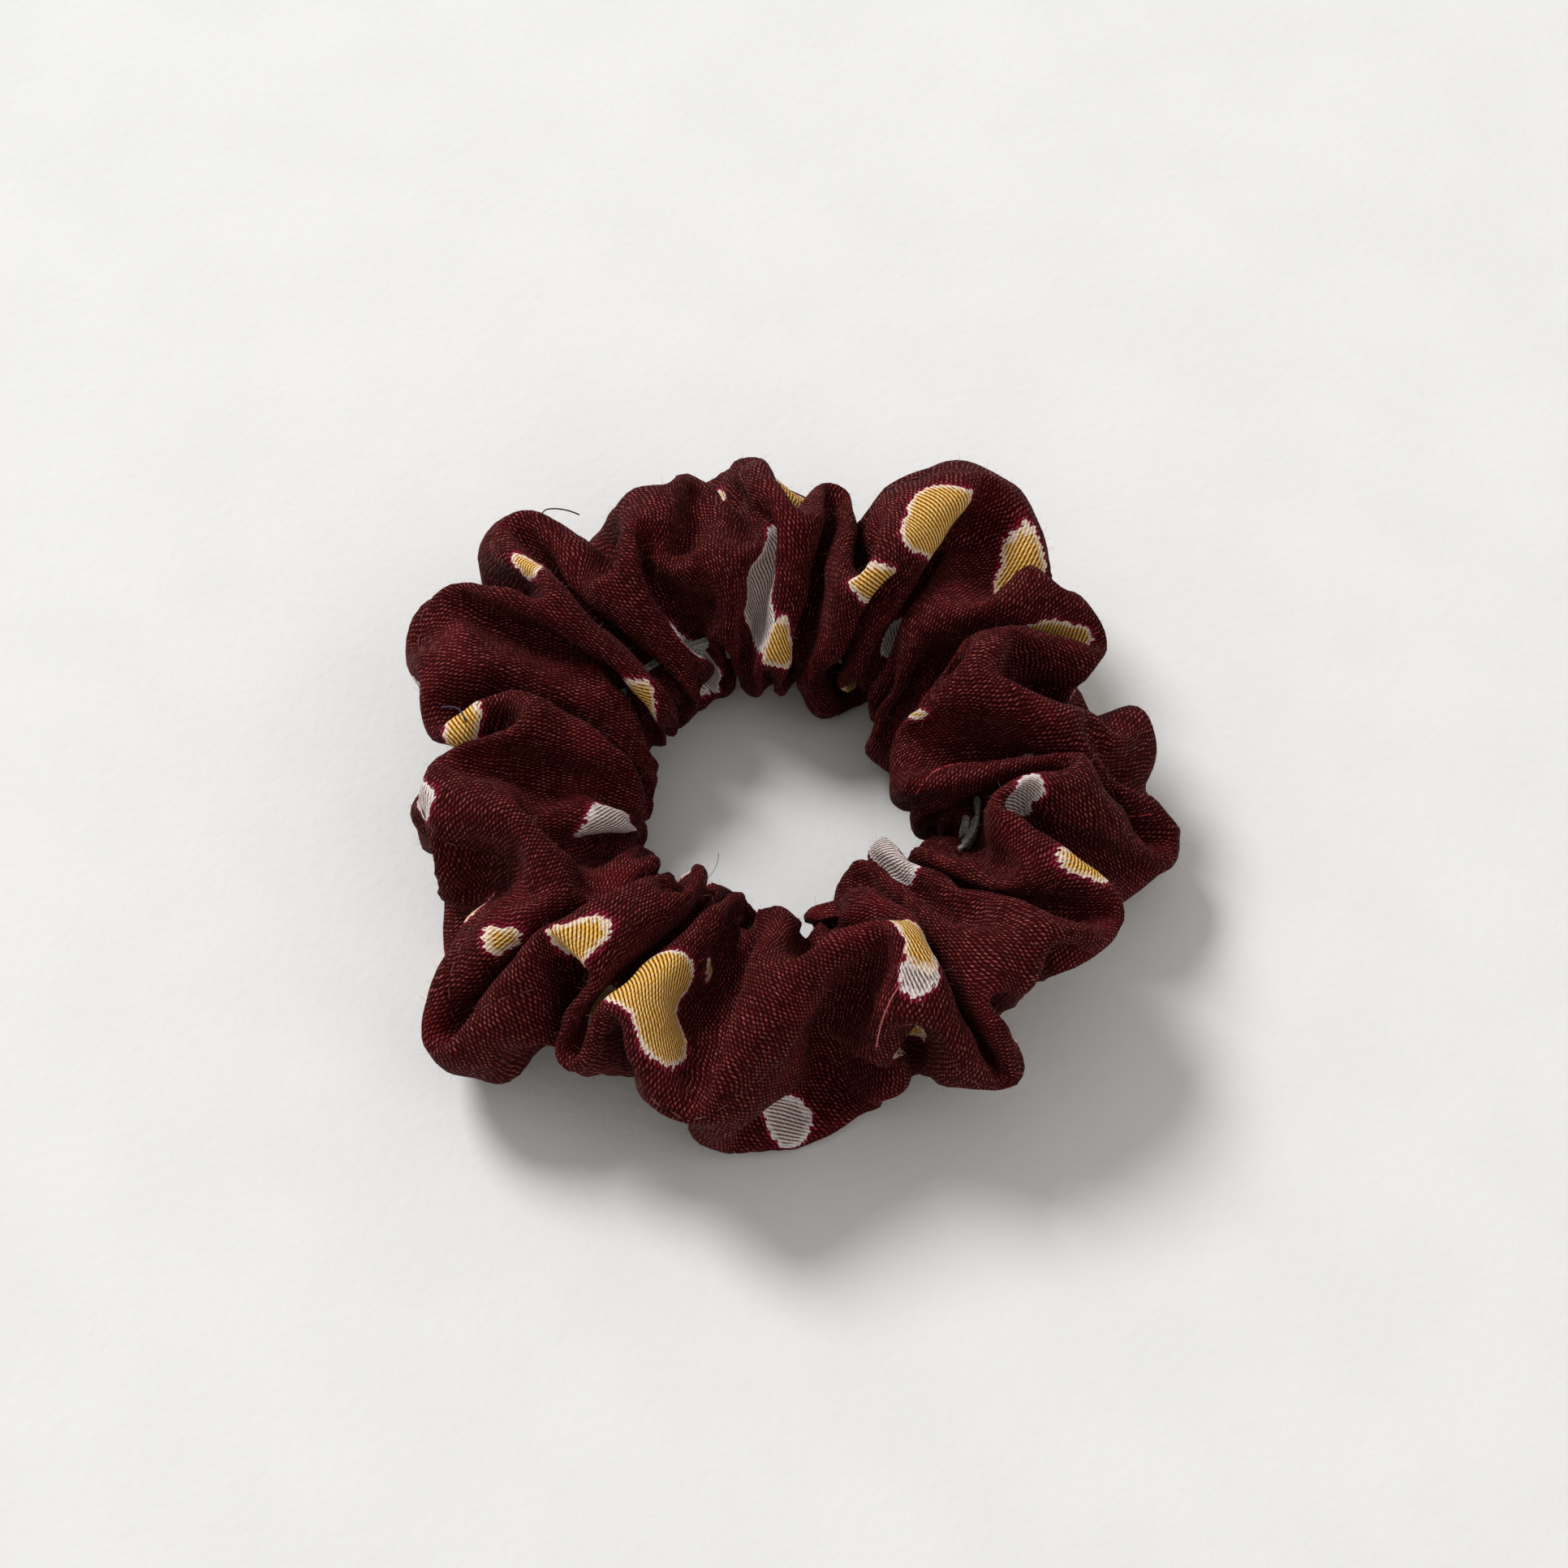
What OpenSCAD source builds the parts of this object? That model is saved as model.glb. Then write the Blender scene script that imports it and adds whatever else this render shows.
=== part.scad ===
// A scrunchie: a cloth tube gathered on a loop of elastic and sewn closed.
// Millimetres, +Z up. The ring lies on z = 0 with its open centre on the Z axis.
// The cover is one cloth tube. It is drawn as two halves that meet at x = 0, so
// that the right half can slide away along +X when the elastic is stretched.

/* [Ring] */
// Radius of the open centre
hole_r = 17.5; // [14:0.5:24]
// Width of the gathered tube, from the open centre to the outer edge
puff_w = 28; // [22:0.5:36]
// Height of the gathered tube
puff_h = 23; // [18:0.5:30]
// Radius of the rounded corners of the gathered tube
puff_r = 8; // [5:0.5:8.5]

/* [Cover] */
// Thickness of the gathered cloth wall
wall_t = 1.6; // [1.2:0.1:2.5]
// Number of gathers round the whole ring
gather_count = 16; // [8:2:20]
// Width of the valley between two gathers
valley_w = 1.6; // [0.8:0.2:2.4]
// Depth of the valley between two gathers
valley_depth = 0.9; // [0.4:0.1:1]
// Gap between the two halves of the cover
split_gap = 0.3; // [0.2:0.1:0.6]

/* [Elastic] */
// Width of the elastic, along the axis of the ring
elastic_w = 6; // [4:0.5:10]
// Thickness of the elastic
elastic_t = 1; // [0.6:0.1:1.6]
// Room between the cloth wall of the open centre and the elastic
elastic_gap = 0.8; // [0.5:0.1:3]
// Length over which the two ends of the elastic overlap
overlap_len = 10; // [8:1:14]

/* [Thread] */
// Diameter of the sewing thread
thread_d = 0.3; // [0.2:0.05:0.5]
// Clearance round a thread
thread_gap = 0.08; // [0.05:0.01:0.15]
// Length of one machine stitch
stitch_len = 2.4; // [1.8:0.1:3.2]
// Height of the long seam, as an angle up the outer rounded corner
seam_angle = 40; // [20:5:70]
// Length of a cut thread end
tail_len = 5; // [3:0.5:8]

/* [Hidden] */

$fn = 96;
eps = 0.02;
outer_r = hole_r + puff_w;
cloth_red = [0.25, 0.05, 0.06];

// Centre and size of the outer top corner, where the long seam runs
corner_x = outer_r - puff_r;
corner_z = puff_h - puff_r;

// Elastic: it stands off the inner wall, and clears that wall's rounded corners
inner_corner_r = puff_r - wall_t;
past_flat = max(0, elastic_w / 2 - (puff_h / 2 - puff_r));
corner_sag = inner_corner_r - sqrt(pow(inner_corner_r, 2) - pow(past_flat, 2));
elastic_r = hole_r + wall_t + elastic_gap + corner_sag;
elastic_z = (puff_h - elastic_w) / 2;
lap_deg = overlap_len / (elastic_r + elastic_t) * 180 / PI;

// Seams: the closing seam and the joined elastic lie in the +X direction
stitch_gap = stitch_len / 4;
closing_run = puff_w - 2 * puff_r;
closing_count = floor(closing_run / stitch_len);
zigzag_count = 6;
zigzag_w = elastic_w / 2;

// Bend of the thread ends, and where they come out as directions round the ring
tail_arc = 60;
blue_dir = 166;
dark_dir = 131;
loose_dir = 292;

// Section of the gathered tube, drawn inward by inset all round
module puff_section(inset) {
    r = puff_r - inset;
    x0 = hole_r + puff_r;
    x1 = outer_r - puff_r;
    for (x = [x0, x1], z = [puff_r, corner_z])
        translate([x, z]) circle(r = r);
    translate([x0, inset]) square([x1 - x0, puff_h - 2 * inset]);
    translate([hole_r + inset, puff_r]) square([puff_w - 2 * inset, corner_z - puff_r]);
}

// A slot round the section, clear of the open centre's wall and of the foot
module valley() {
    cut = puff_w;
    rotate([90, 0, 0])
        linear_extrude(height = valley_w, center = true)
            difference() {
                translate([hole_r + puff_r, puff_r]) square([cut, cut]);
                puff_section(valley_depth);
            }
}

// Whole cover: gathered wall, hollow inside, with the groove for the seam
module cover_ring() {
    difference() {
        // turned, so that the wall's own start lies opposite the closing seam
        rotate(180) rotate_extrude()
            difference() {
                puff_section(0);
                puff_section(wall_t);
                seam_point(puff_r - thread_d / 2) circle(d = thread_d + 2 * thread_gap);
            }
        for (i = [0 : gather_count - 1])
            rotate(360 * (i + 0.5) / gather_count) valley();
        closing_slot(puff_h);
        closing_slot(0);
    }
}

// One half of the cover: side is 1 for +X and -1 for -X
module cover_half(side) {
    reach = outer_r + 1;
    intersection() {
        cover_ring();
        translate([side > 0 ? split_gap / 2 : -reach, -reach, -1])
            cube([reach - split_gap / 2, 2 * reach, puff_h + 2]);
    }
}

// Places its child in the section at a distance from the outer top corner's centre
module seam_point(distance) {
    translate([corner_x + distance * cos(seam_angle), corner_z + distance * sin(seam_angle)])
        children();
}

// Groove in the top or the underside that holds one row of closing stitches
module closing_slot(z) {
    side = thread_d + 2 * thread_gap;
    translate([hole_r + puff_r, -side / 2, z - side])
        cube([closing_run, side, 2 * side]);
}

// A row of separate stitches across the tube, at height z
module closing_row(z) {
    bar = stitch_len - stitch_gap;
    for (i = [0 : closing_count - 1])
        translate([hole_r + puff_r + stitch_gap / 2 + i * stitch_len, 0, z])
            rotate([0, 90, 0]) cylinder(d = thread_d, h = bar);
}

// A short, curved end of thread that lies on the top of the ring
module thread_end(direction, turn) {
    bend_r = tail_len / (tail_arc * PI / 180);
    rotate(direction)
        translate([corner_x - tail_len / 2, 0, puff_h + thread_d / 2 + eps])
            rotate(turn)
                translate([-bend_r, 0, 0])
                    rotate_extrude(angle = tail_arc) translate([bend_r, 0]) circle(d = thread_d);
}

module cover_left() {
    color(cloth_red) cover_half(-1);
}

module cover_right() {
    color(cloth_red) cover_half(1);
}

// Flat elastic whose ends lap over each other
module elastic_band() {
    color("whitesmoke")
        translate([0, 0, elastic_z]) {
            rotate_extrude() translate([elastic_r, 0]) square([elastic_t, elastic_w]);
            rotate(-lap_deg / 2)
                rotate_extrude(angle = lap_deg)
                    translate([elastic_r + elastic_t - eps, 0]) square([elastic_t + eps, elastic_w]);
        }
}

// Zigzag that joins the two ends of the elastic, as separate slanted stitches
module elastic_join_stitching() {
    face_r = elastic_r + 2 * elastic_t + thread_d / 2 + thread_gap;
    pitch = overlap_len / zigzag_count;
    tilt = atan(pitch / zigzag_w);
    bar = zigzag_w / cos(tilt) - 2 * thread_d;
    color("white")
        for (i = [0 : zigzag_count - 1])
            rotate((i - (zigzag_count - 1) / 2) * lap_deg / zigzag_count)
                translate([face_r, 0, puff_h / 2])
                    rotate([i % 2 == 0 ? tilt : -tilt, 0, 0])
                        cylinder(d = thread_d, h = bar, center = true);
}

// Upper thread of the long seam, on the outside of the cloth
module seam_needle_thread() {
    color([0.45, 0.12, 0.14])
        rotate_extrude() seam_point(puff_r - thread_d / 2) circle(d = thread_d);
}

// Lower thread of the long seam, on the inside of the cloth
module seam_bobbin_thread() {
    color([0.45, 0.12, 0.14])
        rotate_extrude() seam_point(puff_r - wall_t - thread_d / 2 - thread_gap) circle(d = thread_d);
}

module closing_needle_stitches() {
    color("crimson") closing_row(puff_h - thread_d / 2);
}

module closing_bobbin_stitches() {
    color("crimson") closing_row(thread_d / 2 + thread_gap);
}

module blue_thread_tail() {
    color("midnightblue") thread_end(blue_dir, 35);
}

module dark_thread_tail() {
    color([0.1, 0.06, 0.08]) thread_end(dark_dir, -20);
}

module loose_seam_thread() {
    color([0.55, 0.25, 0.27]) thread_end(loose_dir, 50);
}

cover_left();
cover_right();
elastic_band();
elastic_join_stitching();
seam_needle_thread();
seam_bobbin_thread();
closing_needle_stitches();
closing_bobbin_stitches();
blue_thread_tail();
dark_thread_tail();
loose_seam_thread();
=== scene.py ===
# Scrunchie: a printed cloth tube gathered on elastic, lying on a pale surface.
# Sizes are in millimetres and are turned into metres where a mesh is finished.
import math

import bmesh
import bpy
import numpy as np
from mathutils import Matrix, Vector
from mathutils.bvhtree import BVHTree


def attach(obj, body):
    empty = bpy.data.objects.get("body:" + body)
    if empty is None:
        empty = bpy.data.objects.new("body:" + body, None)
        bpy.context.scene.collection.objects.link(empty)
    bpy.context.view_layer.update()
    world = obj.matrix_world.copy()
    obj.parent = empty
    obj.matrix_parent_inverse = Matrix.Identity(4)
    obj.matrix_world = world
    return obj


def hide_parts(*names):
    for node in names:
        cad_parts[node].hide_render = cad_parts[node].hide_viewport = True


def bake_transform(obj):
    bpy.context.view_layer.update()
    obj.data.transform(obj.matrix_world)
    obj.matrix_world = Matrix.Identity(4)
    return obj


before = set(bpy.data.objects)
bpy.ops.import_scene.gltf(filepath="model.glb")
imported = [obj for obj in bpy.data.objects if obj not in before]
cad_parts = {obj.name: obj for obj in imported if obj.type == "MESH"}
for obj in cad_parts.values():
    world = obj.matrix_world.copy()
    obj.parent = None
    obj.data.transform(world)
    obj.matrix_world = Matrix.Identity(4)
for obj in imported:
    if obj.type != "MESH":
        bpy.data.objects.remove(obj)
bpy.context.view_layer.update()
millimetre = 0.001
fullTurn = 2 * math.pi
scene = bpy.context.scene


# helpers

def addObject(name, mesh):
    piece = bpy.data.objects.new(name, mesh)
    scene.collection.objects.link(piece)
    return piece


def meshFrom(bm, name, smooth=True):
    mesh = bpy.data.meshes.new(name)
    bm.to_mesh(mesh)
    bm.free()
    if smooth:
        mesh.shade_smooth()
    return mesh


def ripple(angle, seed, lowest, highest):
    # a smooth, closed random wave round the ring, about 1 high
    dice = np.random.default_rng(seed)
    wave, power = np.zeros_like(angle), 0.0
    for turns in range(lowest, highest + 1):
        height, shift = dice.normal(), dice.uniform(0, fullTurn)
        wave = wave + height * np.cos(turns * angle + shift)
        power += height * height / 2
    return wave / math.sqrt(power)


def bump(angle, direction, spread):
    # a single soft rise round one direction, both in degrees
    away = (angle - math.radians(direction) + math.pi) % fullTurn - math.pi
    return np.exp(-((away / math.radians(spread)) ** 2))


def copies(template, places, name):
    # one mesh made of a copy of the template at each place; the template is used up
    turns = np.array([place.to_3x3() for place in places])
    shifts = np.array([place.translation for place in places])
    corners = readPoints(template)
    points = np.einsum("kij,nj->kni", turns, corners) + shifts[:, None]
    faces = [[vertex + i * len(corners) for vertex in face.vertices]
             for i in range(len(places)) for face in template.polygons]
    bpy.data.meshes.remove(template)
    mesh = bpy.data.meshes.new(name)
    mesh.from_pydata(points.reshape(-1, 3), [], faces)
    mesh.shade_smooth()
    return addObject(name, mesh)


def placeAt(point, along, up, size):
    # a frame with X along the thread and Z away from the cloth
    x = along.normalized()
    y = up.cross(x).normalized()
    z = x.cross(y)
    turn = Matrix((x, y, z)).transposed().to_4x4()
    return Matrix.Translation(point) @ turn @ Matrix.Diagonal((*size, 1))


# camera

cameraLook = dict(
    elevation=58.5,              # degrees above the surface
    lens=85,
    sensor=36,
    across=0.1797,               # width of the picture at the ring
    target=(0.0001, 0.0007, 0.0115),
)


def makeCamera(look):
    data = bpy.data.cameras.new("camera")
    data.lens = look["lens"]
    data.sensor_width = look["sensor"]
    camera = addObject("camera", data)
    rise = math.radians(look["elevation"])
    back = Vector((0, -math.cos(rise), math.sin(rise)))
    distance = look["across"] * look["lens"] / look["sensor"]
    camera.location = Vector(look["target"]) + back * distance
    camera.rotation_euler = (-back).to_track_quat("-Z", "Y").to_euler()
    scene.camera = camera
    return camera


camera = makeCamera(cameraLook)
bpy.context.view_layer.update()
print("camera placed")


# cloth cover

coverCloth = dict(
    length=440.0,                # finished length of the tube, round the ring
    stitch=2.4,                  # length of one stitch of the long seam
    girth=84.0,                  # round the tube, without the seam allowances
    allowance=5.0,               # of each long edge and each end
    stops=240,                   # mesh steps along the tube
    ribs=36,                     # mesh steps round the tube
    thickness=0.28,
    seamTurn=30,                 # where the long seam runs, degrees up the outer side
    closingDirection=-6,         # where the closing seam lies round the ring
    unit=0.1,                    # simulation units in a millimetre
)

gathering = dict(
    elasticRadius=17.8,          # where the cloth is held against the elastic
    elasticHeight=9.5,
    loopRoom=2.4,                # from the cloth to the middle of the elastic
    loopThick=2.0,               # room that the elastic takes up while the cloth is drawn in
    loopWide=5.0,
    holds=60,                    # how often the gathers hold to the elastic
    outerRadius=36.5,
    outerPull=0.5,
    outerBand=0.40,              # share of the girth left free on each side of the elastic
    roundness=0.74,
    jitter=0.5,
    drift=0.05,                  # how far gathers slide round the ring, radians
    smallReach=1.2,              # small folds, outwards and upwards
    smallRise=1.6,
    wander=2.0,                  # how far the held line strays, in ribs
    lift=16.0,                   # height of the tube before it is gathered
    slack=0.15,                  # unevenness of the tube before it is gathered
    beltHalf=0.8,                # half the gap in the tube when it is pressed flat
    drawnIn=0.7,                 # share of the frames in which the elastic shrinks
    frames=70,
    stretch=80,
    squeeze=120,
    shear=3,
    bend=6.0,
    gap=0.06,                    # least distance between layers, simulation units
)

# big folds round the ring: direction, reach, spread in degrees, rise
bigFolds = [
    (-8, 5, 6, 0), (60, 14, 9, 11), (79, -4, 5, -4), (100, 4, 11, 1), (119, 8, 5, 1),
    (134, 10, 7, 1), (154, 12, 9, 1), (170, -3, 5, 0), (186, 3, 9, -1), (-140, 12, 14, 0), (-120, -3, 5, -2),
    (-98, 8, 9, 0), (-80, -6, 5, -2), (-64, 0, 7, -1), (-42, -2, 7, 0), (-20, -7, 7, -1), (18, -6, 8, 0),
    (38, -3, 6, 0),
]


def ringMesh(name, stops, ribs, ringRadius, tubeRadius):
    # a ring of round section, with its points and faces always in the same order
    stop, rib = np.divmod(np.arange(stops * ribs), ribs)
    angle, turn = stop * fullTurn / stops, rib * fullTurn / ribs
    wide = ringRadius + tubeRadius * np.cos(turn)
    points = np.stack([wide * np.cos(angle), wide * np.sin(angle), tubeRadius * np.sin(turn)], 1)
    ahead, beside = (stop + 1) % stops * ribs, (rib + 1) % ribs
    faces = np.stack([stop * ribs + rib, ahead + rib, ahead + beside, stop * ribs + beside], 1)
    mesh = bpy.data.meshes.new(name)
    mesh.from_pydata(points, [], faces.tolist())
    mesh.shade_smooth()
    return addObject(name, mesh), stop, rib


def makeTube(facts):
    # the sewn tube before it is gathered, as a wide ring of round section
    unit = facts["unit"]
    tube, stop, rib = ringMesh("tube", facts["stops"], facts["ribs"], facts["length"] / fullTurn * unit,
                               facts["girth"] / fullTurn * unit)
    mapCloth(tube.data, stop / facts["stops"], rib / facts["ribs"])
    return tube, stop, rib


def readPoints(mesh):
    flat = np.zeros(len(mesh.vertices) * 3)
    mesh.vertices.foreach_get("co", flat)
    return flat.reshape(-1, 3)


def mapCloth(mesh, along, across):
    # a UV map where the whole strip runs from 0 to 1 both ways
    corners = np.zeros(len(mesh.loops), dtype=int)
    mesh.loops.foreach_get("vertex_index", corners)
    uv = np.stack([along[corners], across[corners]], 1).reshape(-1, 4, 2)
    wraps = uv.max(axis=1, keepdims=True) - uv.min(axis=1, keepdims=True) > 0.5
    uv = np.where(wraps & (uv < 0.5), uv + 1, uv)
    mesh.uv_layers.new(name="clothMap").data.foreach_set("uv", uv.reshape(-1).astype(np.float32))


def gatheredShape(angle, turn, facts, pull):
    # where the elastic draws the cloth to, before it crumples
    drift = pull["drift"] * ripple(angle, 5, 1, 7)
    still = pull["drift"] * ripple(np.zeros(1), 5, 1, 7)[0]
    around = angle + drift - still + math.radians(facts["closingDirection"])
    reach = sum(out * bump(around, where, spread) for where, out, spread, up in bigFolds)
    rise = sum(up * bump(around, where, spread) for where, out, spread, up in bigFolds)
    reach = reach + pull["smallReach"] * ripple(angle, 31, 8, 20)
    rise = rise + pull["smallRise"] * ripple(angle, 33, 8, 20)
    inner = pull["elasticRadius"] + pull["jitter"] * ripple(angle, 41, 6, 24)
    height = pull["elasticHeight"] + 1.3 * pull["jitter"] * ripple(angle, 43, 6, 24)
    outer = pull["outerRadius"] + reach
    flatter = 1 - 0.55 * bump(around, facts["closingDirection"], 6)
    middle, half = (inner + outer) / 2, (outer - inner) / 2
    across = middle + half * np.cos(turn)
    tall = facts["girth"] / fullTurn * pull["roundness"] * flatter
    up = height + tall * np.sin(turn) + (rise + 2) * (1 + np.cos(turn)) / 2
    return np.stack([across * np.cos(around), across * np.sin(around), np.maximum(up, 0.5)], 1)


def addShape(piece, name, points):
    key = piece.shape_key_add(name=name)
    key.data.foreach_set("co", points.reshape(-1).astype(np.float32))
    key.value = 0
    return key


def heldLine(angle, facts, pull):
    # the rib that lies against the elastic, which wanders as the tube twists
    return facts["ribs"] / 2 + pull["wander"] * ripple(angle, 22, 1, 5)


def makeLoop(facts, pull):
    # the elastic as an obstacle that shrinks inside the tube and draws in on its way
    unit = facts["unit"]
    wide = (facts["length"] - facts["girth"]) / fullTurn + pull["loopRoom"]
    loop = ringMesh("loop", 90, 8, 2, 1)[0]
    unitRing = readPoints(loop.data)
    direction = np.arctan2(unitRing[:, 1], unitRing[:, 0])
    side = np.hypot(unitRing[:, 0], unitRing[:, 1]) - 2
    rise = unitRing[:, 2]

    def ring(radius, height):
        away = radius + side * pull["loopThick"] / 2
        return np.stack([away * np.cos(direction), away * np.sin(direction),
                         height + rise * pull["loopWide"] / 2], 1) * unit

    addShape(loop, "Basis", ring(wide, pull["lift"]))
    small = addShape(loop, "small", ring(pull["elasticRadius"] + pull["loopRoom"], pull["elasticHeight"]))
    small.value = 0
    small.keyframe_insert("value", frame=1)
    small.value = 1
    small.keyframe_insert("value", frame=int(pull["frames"] * pull["drawnIn"]))
    loop.modifiers.new("solid", "COLLISION")
    loop.collision.thickness_outer = 0.02
    loop.collision.cloth_friction = 5
    return loop


def gatherCover(tube, stop, rib, facts, pull):
    # draws the tube together on its elastic as cloth, and returns the crumpled points
    unit, stops, ribs = facts["unit"], facts["stops"], facts["ribs"]
    angle, turn = stop * fullTurn / stops, rib * fullTurn / ribs
    ringRadius, tubeRadius = facts["length"] / fullTurn, facts["girth"] / fullTurn
    lift = pull["lift"]
    dice = np.random.default_rng(11)
    wide = ringRadius + tubeRadius * np.cos(turn)
    start = np.stack([wide * np.cos(angle), wide * np.sin(angle), tubeRadius * np.sin(turn) + lift], 1)
    start += dice.normal(0, pull["slack"], start.shape)
    addShape(tube, "Basis", start * unit)
    target = gatheredShape(angle, turn, facts, pull) * unit
    gathered = addShape(tube, "gathered", target)

    # unstressed shape: the tube pressed flat as a belt of equal length everywhere
    quarter = facts["girth"] / 4
    walk = turn / fullTurn * facts["girth"]
    high = np.where(walk < 3 * quarter, 2 * quarter - walk, walk - 4 * quarter)
    high = np.where(walk < quarter, walk, high)
    inwards = (walk > quarter) & (walk < 3 * quarter)
    side = np.where(inwards, -pull["beltHalf"], pull["beltHalf"]) + ringRadius
    pressed = np.stack([side * np.cos(angle), side * np.sin(angle), high + lift], 1)
    belt = addShape(tube, "belt", pressed * unit)

    line = heldLine(angle, facts, pull)
    held = np.round(line).astype(int) == rib
    picks = (np.arange(pull["holds"]) + dice.uniform(-0.25, 0.25, pull["holds"])) * stops / pull["holds"]
    held &= np.isin(stop, np.round(picks).astype(int) % stops)
    loose = np.abs(rib - line) > ribs * pull["outerBand"]
    pin = tube.vertex_groups.new(name="pin")
    pin.add(np.flatnonzero(held).tolist(), 1.0, "REPLACE")
    pin.add(np.flatnonzero(loose & ~held).tolist(), pull["outerPull"], "REPLACE")
    gathered.value = 0
    gathered.keyframe_insert("value", frame=1)
    gathered.value = 1
    gathered.keyframe_insert("value", frame=int(pull["frames"] * pull["drawnIn"]))

    bm = bmesh.new()
    bmesh.ops.create_grid(bm, x_segments=1, y_segments=1, size=50)
    ground = addObject("ground", meshFrom(bm, "ground"))
    ground.modifiers.new("solid", "COLLISION")
    ground.collision.thickness_outer = 0.02
    loop = makeLoop(facts, pull)

    modifier = tube.modifiers.new("cloth", "CLOTH")
    cloth = modifier.settings
    cloth.quality = 5
    cloth.mass = 0.02
    cloth.tension_stiffness = pull["stretch"]
    cloth.compression_stiffness = pull["squeeze"]
    cloth.shear_stiffness = pull["shear"]
    cloth.bending_stiffness = pull["bend"]
    cloth.tension_damping = 5
    cloth.compression_damping = 5
    cloth.shear_damping = 5
    cloth.bending_damping = 0.5
    cloth.air_damping = 2
    cloth.vertex_group_mass = "pin"
    cloth.rest_shape_key = belt
    cloth.effector_weights.gravity = 0.5
    touch = modifier.collision_settings
    touch.use_collision = True
    touch.distance_min = 0.03
    touch.use_self_collision = True
    touch.self_distance_min = pull["gap"]
    touch.self_friction = 5
    touch.collision_quality = 2
    modifier.point_cache.frame_start = 1
    modifier.point_cache.frame_end = pull["frames"]
    scene.frame_start, scene.frame_end = 1, pull["frames"]
    for step in range(1, pull["frames"] + 1):
        scene.frame_set(step)
    settled = tube.evaluated_get(bpy.context.evaluated_depsgraph_get())
    points = readPoints(settled.to_mesh()) / unit
    settled.to_mesh_clear()
    scene.frame_set(1)
    bpy.data.objects.remove(ground)
    bpy.data.objects.remove(loop)
    return points


detail = dict(
    crisp=0.35,                  # how far folds are sharpened before they are smoothed
    crinkle=0.11,                # height of the fine wrinkles, millimetres
    waves=30,
    shortest=4.5,
    longest=11.0,
    groove=0.42,                 # depth of the long seam
    ridge=0.22,                  # rise of the cloth over the seam allowance
    hem=0.40,                    # rise of the doubled cloth at the closing seam
)


def sharpened(points, stop, rib, facts, amount):
    # draws each point away from its neighbours along the tube, since smoothing flattens folds
    grid = np.zeros((facts["stops"], facts["ribs"], 3))
    grid[stop, rib] = points
    grid += amount * (grid - (np.roll(grid, 1, 0) + np.roll(grid, -1, 0)) / 2)
    return grid[stop, rib]


def clothPlaces(mesh, facts):
    # where each mesh point lies on the flat cloth, as steps along and across
    stops, ribs = facts["stops"] * 2, facts["ribs"] * 2
    corners = np.zeros(len(mesh.loops), dtype=int)
    mesh.loops.foreach_get("vertex_index", corners)
    uv = np.zeros(len(mesh.loops) * 2)
    mesh.uv_layers["clothMap"].data.foreach_get("uv", uv)
    uv = uv.reshape(-1, 2)
    stop, rib = np.zeros(len(mesh.vertices), dtype=int), np.zeros(len(mesh.vertices), dtype=int)
    stop[corners] = np.round(uv[:, 0] * stops).astype(int) % stops
    rib[corners] = np.round(uv[:, 1] * ribs).astype(int) % ribs
    return stop, rib


def clothRelief(along, across, facts, look):
    # fine wrinkles, the puckered long seam and the doubled end, as a height in millimetres
    dice = np.random.default_rng(17)
    height = np.zeros_like(along)
    for i in range(look["waves"]):
        wave, heading = dice.uniform(look["shortest"], look["longest"]), dice.uniform(0, math.pi)
        turnsAlong = round(facts["length"] / wave * math.cos(heading))
        turnsAcross = round(facts["girth"] / wave * math.sin(heading))
        phase = fullTurn * (turnsAlong * along / facts["length"] + turnsAcross * across / facts["girth"])
        height += np.cos(phase + dice.uniform(0, fullTurn))
    height *= look["crinkle"] / math.sqrt(look["waves"] / 2)
    beside = across - facts["seamTurn"] / 360 * facts["girth"]
    beat = 0.65 + 0.35 * np.cos(fullTurn * along / facts["stitch"])
    height -= look["groove"] * np.exp(-((beside / 0.9) ** 2)) * beat
    height += look["ridge"] * np.clip(beside - 0.6, 0, 1) * np.clip(facts["allowance"] - beside, 0, 1)
    height += look["hem"] * (along < facts["allowance"]) * np.clip(facts["allowance"] - along, 0, 1)
    return height


def finishCover(tube, points, stop, rib, facts, look):
    # a clean mesh at real size, standing on the surface, smoothed once and given its fine relief
    points = sharpened(points, stop, rib, facts, look["crisp"])
    name = "clothCover"
    bm = bmesh.new()
    bm.from_mesh(tube.data, use_shape_key=False)
    cover = addObject(name, meshFrom(bm, name))
    bpy.data.objects.remove(tube)
    cover.data.vertices.foreach_set("co", (points * millimetre).reshape(-1).astype(np.float32))
    smoother = cover.modifiers.new("smooth", "SUBSURF")
    smoother.levels = smoother.render_levels = 1
    finer = cover.evaluated_get(bpy.context.evaluated_depsgraph_get())
    mesh = bpy.data.meshes.new_from_object(finer)
    cover.modifiers.clear()
    cover.data = mesh
    mesh.name = name
    mesh.shade_smooth()
    stops, ribs = clothPlaces(mesh, facts)
    along, across = stops * facts["length"] / facts["stops"] / 2, ribs * facts["girth"] / facts["ribs"] / 2
    normals = np.zeros(len(mesh.vertices) * 3)
    mesh.vertices.foreach_get("normal", normals)
    relief = clothRelief(along, across, facts, look)[:, None] * millimetre
    places = readPoints(mesh) + normals.reshape(-1, 3) * relief
    places[:, 2] -= places[:, 2].min()
    mesh.vertices.foreach_set("co", places.reshape(-1).astype(np.float32))
    mesh.update()
    return cover


tube, tubeStop, tubeRib = makeTube(coverCloth)
crumpled = gatherCover(tube, tubeStop, tubeRib, coverCloth, gathering)
cover = finishCover(tube, crumpled, tubeStop, tubeRib, coverCloth, detail)
print("cover gathered", [round(side * 1000, 1) for side in cover.dimensions])


# places on the cloth

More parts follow.
